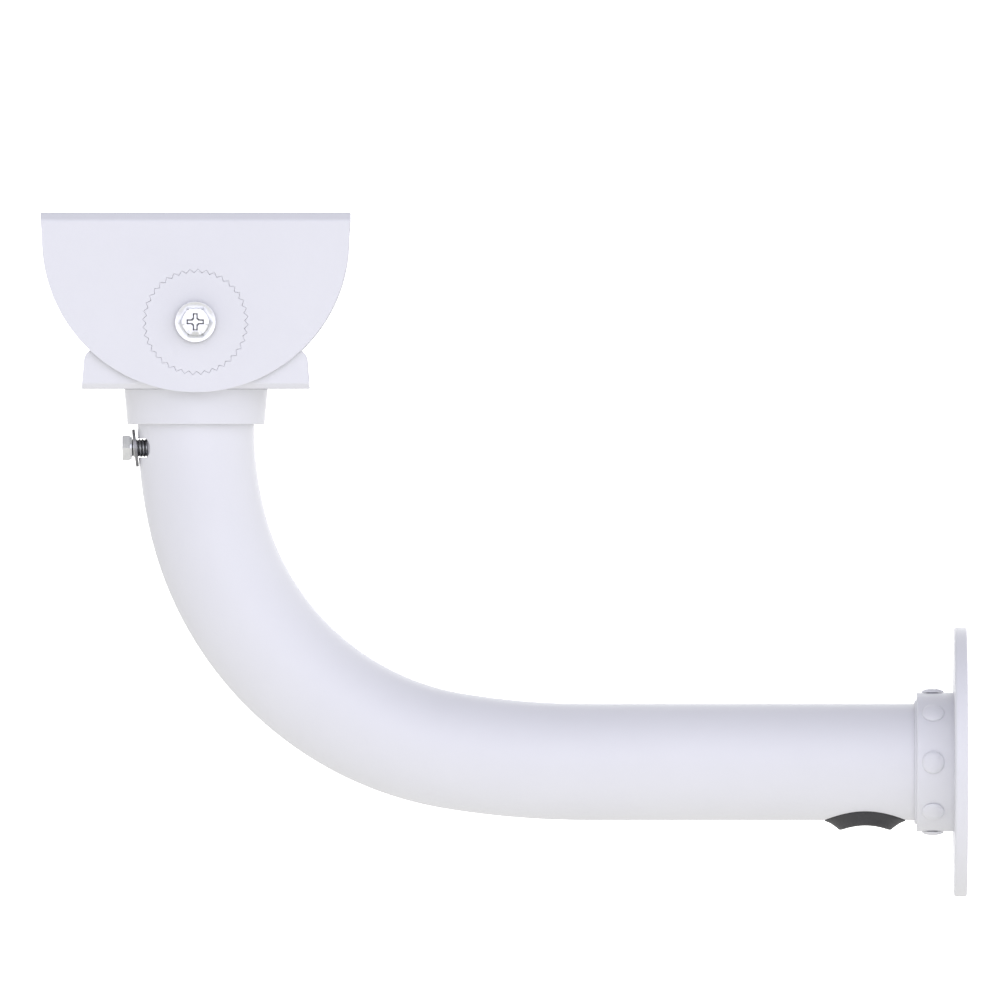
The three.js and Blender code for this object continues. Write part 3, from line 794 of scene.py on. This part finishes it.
def make_saddle():
    height = PIVOT_Z + EAR_TOP_RADIUS - SADDLE_BOTTOM
    profile = folded(SADDLE_HALF_WIDTH, height + CUT, SADDLE_BEND, SADDLE_BEND_ROUND)
    sheet = prism(profile, -SADDLE_HALF_LENGTH - CUT, SADDLE_HALF_LENGTH + CUT)
    obj = build("saddle", sheet, at(SWIVEL_X, 0, SADDLE_BOTTOM) @ ALONG_X)
    width = SADDLE_HALF_WIDTH + CUT
    combine(obj, prism(ear_outline(), -width, width), at(SWIVEL_X, 0, 0) @ SIDEWAYS, "INTERSECT")
    top = SADDLE_BOTTOM + SHEET
    combine(obj, bar(SADDLE_HOLE, SADDLE_BOTTOM - CUT, top + CUT, 96), at(SWIVEL_X, 0, 0))
    combine(obj, bar(CLEARANCE, -width, width), at(SWIVEL_X, 0, PIVOT_Z) @ SIDEWAYS)
    sink = turned([
        (0, -SHEET - CUT),
        (SADDLE_SCREW_SHANK + GAP, -SHEET - CUT),
        (SADDLE_SCREW_SHANK + GAP, -SADDLE_SCREW_HEAD_HEIGHT),
        (SADDLE_SCREW_HEAD + GAP, 0),
        (SADDLE_SCREW_HEAD + GAP, CUT),
        (0, CUT),
    ], 48)
    combine(obj, merged([moved(sink, place) for place in saddle_screw_places(top)]))
    show(soften(obj, 0.35), "saddle", PAINT)


def cross_tool(span, width, depth, slope):
    """Cross recess cut from 0 down, with cut corners round its middle. Its walls lean in by the
    slope, so that its floor is smaller."""
    corner = 0.35 * width
    points, rings = [], []
    for z, inset in ((0.01, 0), (-depth, slope)):
        s, w = span / 2 - inset, width / 2 - inset
        quarter = [(w, s), (-w, s), (-w, w + corner), (-w - corner, w)]
        rings.append(range(len(points), len(points) + 16))
        for _ in range(4):
            points += [(x, y, z) for x, y in quarter]
            quarter = [(-y, x) for x, y in quarter]
    return points, [*walls(rings, 16, False), list(rings[0]), list(rings[1])]


def make_saddle_screws():
    for i, place in enumerate(saddle_screw_places(SADDLE_BOTTOM + SHEET)):
        head = rounded([
            (0, -SADDLE_SCREW_HEAD_HEIGHT - 0.3),
            (SADDLE_SCREW_SHANK - 0.1, -SADDLE_SCREW_HEAD_HEIGHT - 0.3),
            (SADDLE_SCREW_HEAD, -0.15, 0.12),
            (SADDLE_SCREW_HEAD - 0.25, 0, 0.1),
            (0, 0),
        ], 3)
        obj = build("screw", turned(head, 48), place)
        combine(obj, cross_tool(*SADDLE_SCREW_CROSS), place)
        soften(obj, 0.08)
        shank = threaded(
            SADDLE_SCREW_SHANK, SADDLE_SCREW_PITCH, -SADDLE_SCREW_LENGTH, -SADDLE_SCREW_HEAD_HEIGHT,
        )
        combine(obj, shank, place, "UNION")
        show(obj, f"saddle_screw_{i + 1}", ZINC)


def hexagon():
    """Hexagon with flats facing +Y and -Y."""
    return arc(0, 0, HEX_ACROSS_FLATS / math.sqrt(3), 0, FULL, 6)[:-1]


def hex_head(place, recess):
    """Hex head from 0 upwards, with a washer face below and a turned chamfer on top."""
    chamfer = (HEX_CORNER - HEX_FLAT * HEAD_FACE) * math.tan(HEX_CHAMFER)
    obj = build("bolt", prism(hexagon(), 0, HEX_HEIGHT), place)
    combine(obj, turned([
        (0, 0),
        (HEX_FLAT * WASHER_FACE, 0),
        (HEX_FLAT * WASHER_FACE, 0.7),
        (HEX_CORNER, 0.8),
        (HEX_CORNER, HEX_HEIGHT - chamfer),
        (HEX_FLAT * HEAD_FACE, HEX_HEIGHT),
        (0, HEX_HEIGHT),
    ], 96), place, "INTERSECT")
    soften(obj, 0.24)
    if recess:
        combine(obj, cross_tool(*SCREW_CROSS), place @ at(0, 0, HEX_HEIGHT))
    return obj


def hex_bolt(node, shank, pitch, length, place, recess=False):
    obj = hex_head(place, recess)
    combine(obj, threaded(shank, pitch, -length, 0.4), place, "UNION")

    def is_shade_painted(radius, height, slope):
        """True where shade is painted: in the thread's roots, on the walls of the recess and on the
        turned chamfer.
        """
        root = height < 0 and radius < shank - 0.12 * pitch
        wall = recess and radius < 0.8 * HEX_FLAT and height > 1 and abs(slope) < 0.5
        chamfer = radius > 0.9 * HEX_FLAT and 0.2 < slope < 0.95
        return root or wall or chamfer

    paint_shade(obj, place, is_shade_painted)
    show(obj, node, ZINC, SHADE_PAINTED_ZINC)


def washer(node, inner, outer, thickness, dish, place):
    """Stamped washer whose top slopes down towards its bore by the dish, with painted shade on its
    cut rim.
    """
    obj = build("washer", turned(rounded([
        (inner, 0, 0.12), (outer, 0, 0.1), (outer, thickness, 0.2), (inner, thickness - dish, 0.2),
    ], 4), 96, True), place)
    paint_shade(obj, place, lambda radius, height, slope: radius > outer - 0.05 and abs(slope) < 0.5)
    show(obj, node, ZINC, SHADE_PAINTED_ZINC)


def spring_washer(node, place):
    """Split ring whose two ends are a little apart along its axis."""
    section = rounded([
        (CLEARANCE, 0, 0.2),
        (SPRING_RADIUS, 0, 0.2),
        (SPRING_RADIUS, SPRING_WIRE, 0.2),
        (CLEARANCE, SPRING_WIRE, 0.2),
    ], 3)
    half_gap = SPRING_HALF_SPLIT / SPRING_RADIUS
    points, rings = [], []
    for i in range(SPRING_STEPS + 1):
        a = half_gap + (FULL - 2 * half_gap) * i / SPRING_STEPS
        rise = (SPRING_THICKNESS - SPRING_WIRE) * i / SPRING_STEPS
        rings.append(range(len(points), len(points) + len(section)))
        points += [(r * math.cos(a), r * math.sin(a), z + rise) for r, z in section]
    faces = [*walls(rings, len(section), False), list(rings[0]), list(rings[-1])]
    show(soften(build("spring", (points, faces), place), 0.06, angle=60), node, ZINC)


def hex_nut(node, place):
    """Hex nut with chamfers on both faces and a countersunk bore."""
    chamfer = (HEX_CORNER - HEX_FLAT * NUT_FACE) * math.tan(HEX_CHAMFER)
    obj = build("nut", prism(hexagon(), 0, NUT_THICKNESS), place)
    combine(obj, turned([
        (SHANK + 0.1, 0.5),
        (SHANK + 0.6, 0),
        (HEX_FLAT * NUT_FACE, 0),
        (HEX_CORNER, chamfer),
        (HEX_CORNER, NUT_THICKNESS - chamfer),
        (HEX_FLAT * NUT_FACE, NUT_THICKNESS),
        (SHANK + 0.6, NUT_THICKNESS),
        (SHANK + 0.1, NUT_THICKNESS - 0.5),
    ], 96, True), place, "INTERSECT")
    show(soften(obj, 0.1), node, ZINC)


def make_lock_bolt():
    outwards = FROM_WALL @ turn(QUARTER, "Z")
    place = at(SWIVEL_X + LOCK_HEAD_X, 0, LOCK_Z) @ outwards
    hex_bolt("pan_lock_bolt", LOCK_SHANK, LOCK_PITCH, LOCK_LENGTH, place)
    lean = turn(-QUARTER - LOCK_WASHER_LEAN, "Y")
    centred = at(0, 0, -LOCK_WASHER_THICKNESS / 2)
    place = at(SWIVEL_X + LOCK_WASHER_X, 0, LOCK_Z) @ lean @ centred
    bore = LOCK_SHANK + GAP
    washer("pan_lock_washer", bore, LOCK_WASHER_RADIUS, LOCK_WASHER_THICKNESS, 0, place)


def make_pivot_stacks():
    """On each side, from the inside out: nut, washer, spring washer and screw."""
    spring = HEAD_HALF_WIDTH + 2 * GAP + WASHER_THICKNESS
    screw = spring + SPRING_THICKNESS + GAP
    nut = SADDLE_HALF_WIDTH - SHEET - GAP - NUT_THICKNESS
    for side, facing in (("front", -1), ("back", 1)):
        axis = at(SWIVEL_X, 0, PIVOT_Z) @ turn(-facing * QUARTER, "X")
        hex_nut(f"pivot_nut_{side}", axis @ at(0, 0, nut))
        place = axis @ at(0, 0, HEAD_HALF_WIDTH + GAP)
        washer(
            f"pivot_washer_{side}", CLEARANCE, WASHER_RADIUS, WASHER_THICKNESS, WASHER_DISH, place,
        )
        spring_washer(f"pivot_spring_washer_{side}", axis @ at(0, 0, spring))
        hex_bolt(f"pivot_screw_{side}", SHANK, PITCH, SCREW_LENGTH, axis @ at(0, 0, screw), True)


# Head

def make_channel():
    depth = HEAD_TOP - (HEAD_ARC_Z - HEAD_ARC_RADIUS) + CUT
    length = HEAD_HALF_LENGTH + CUT
    place = at(SWIVEL_X, 0, HEAD_TOP) @ turn(2 * QUARTER, "X") @ ALONG_X
    profile = folded(HEAD_HALF_WIDTH, depth, HEAD_BEND, HEAD_BEND_ROUND)
    obj = build("channel", prism(profile, -length, length), place)
    outline = [
        (HEAD_HALF_LENGTH, HEAD_TOP),
        (-HEAD_HALF_LENGTH, HEAD_TOP),
        *arc(0, HEAD_ARC_Z, HEAD_ARC_RADIUS, 2 * QUARTER, 4 * QUARTER, 128),
    ]
    width = HEAD_HALF_WIDTH + CUT
    combine(obj, prism(outline, -width, width), at(SWIVEL_X, 0, 0) @ SIDEWAYS, "INTERSECT")
    combine(obj, prism(zigzag(TOOTH_CLEARANCE), -width, width), at(SWIVEL_X, 0, PIVOT_Z) @ SIDEWAYS)
    slot = prism(stadium(CAMERA_SLOT_HALF_LENGTH, CAMERA_SLOT_HALF_WIDTH), -SHEET - CUT, CUT)
    for x in (-CAMERA_SLOT_X, CAMERA_SLOT_X):
        combine(obj, slot, at(SWIVEL_X + x, 0, HEAD_TOP))
    show(soften(obj, 0.3), "tilt_channel", PAINT)


def make_discs():
    for side, facing in (("front", -1), ("back", 1)):
        place = at(SWIVEL_X, facing * (HEAD_HALF_WIDTH - SHEET / 2), PIVOT_Z) @ SIDEWAYS
        obj = build("disc", prism(zigzag(-TOOTH_CLEARANCE), -SHEET / 2, SHEET / 2), place)
        combine(obj, bar(CLEARANCE, -SHEET, SHEET), place)
        show(soften(obj, 0.12), f"toothed_disc_{side}", PAINT)


# Studio

def make_floor():
    corners = [(x * FLOOR_HALF_SIZE, y * FLOOR_HALF_SIZE, FLOOR_Z)
               for x, y in ((-1, -1), (1, -1), (1, 1), (-1, 1))]
    mesh = bpy.data.meshes.new("floor")
    mesh.from_pydata(corners, [], [(0, 1, 2, 3)])
    floor = bpy.data.objects.new("floor", mesh)
    bpy.context.scene.collection.objects.link(floor)
    n = Nodes("floor_paper")
    n.shader.inputs["Roughness"].default_value = 0.9
    n.shader.inputs["Specular IOR Level"].default_value = 0.1
    n.shader.inputs["Emission Color"].default_value = (1, 0.98, 0.9, 1)
    n.shader.inputs["Emission Strength"].default_value = 0.27
    n.link(n.ramp(n.noise(3, 2), 0.3, 0.7, ((0.84, 0.835, 0.8), (0.86, 0.855, 0.82))),
           n.shader.inputs["Base Color"])
    mesh.materials.append(n.material)


def make_world():
    """White room whose light falls off towards the sides and overhead."""
    world = bpy.data.worlds.new("studio")
    bpy.context.scene.world = world
    world.use_nodes = True
    tree = world.node_tree
    place = tree.nodes.new("ShaderNodeTexCoord")
    split = tree.nodes.new("ShaderNodeSeparateXYZ")
    tree.links.new(place.outputs["Generated"], split.inputs["Vector"])

    def levels(axis, stops):
        """Colours along one axis of the room, between the stops."""
        spread = tree.nodes.new("ShaderNodeMapRange")
        spread.inputs["From Min"].default_value = -1
        tree.links.new(split.outputs[axis], spread.inputs["Value"])
        ramp = tree.nodes.new("ShaderNodeValToRGB")
        while len(ramp.color_ramp.elements) < len(stops):
            ramp.color_ramp.elements.new(0.5)
        for element, (position, level, blue) in zip(ramp.color_ramp.elements, stops):
            element.position = (position + 1) / 2
            element.color = (level, level, level * blue, 1)
        tree.links.new(spread.outputs["Result"], ramp.inputs["Fac"])
        return ramp.outputs["Color"]

    colour = levels("Y", ROOM_Y)
    for more in (levels("Z", ROOM_Z), levels("X", ROOM_X)):
        product = tree.nodes.new("ShaderNodeVectorMath")
        product.operation = "MULTIPLY"
        tree.links.new(colour, product.inputs[0])
        tree.links.new(more, product.inputs[1])
        colour = product.outputs["Vector"]
    tree.links.new(colour, tree.nodes["Background"].inputs["Color"])
    tree.nodes["Background"].inputs["Strength"].default_value = ROOM_LIGHT


def make_camera():
    """Level view along +Y."""
    distance = DISTANCE_IN_WIDTHS * VIEW_WIDTH
    data = bpy.data.cameras.new("camera")
    data.sensor_width = SENSOR_WIDTH
    data.lens = data.sensor_width * distance / VIEW_WIDTH
    data.clip_end = CLIP_END
    camera = bpy.data.objects.new("camera", data)
    camera.location = (VIEW_CENTRE_X, -distance, VIEW_CENTRE_Z)
    camera.rotation_euler = (QUARTER, 0, 0)
    bpy.context.scene.collection.objects.link(camera)
    bpy.context.scene.camera = camera


make_arm_tube()
make_wall_plate()
make_rivets()
make_grommet()
make_neck()
make_saddle()
make_saddle_screws()
make_lock_bolt()
make_pivot_stacks()
make_channel()
make_discs()
make_floor()
make_world()
make_camera()
bpy.context.scene.view_settings.view_transform = "Standard"
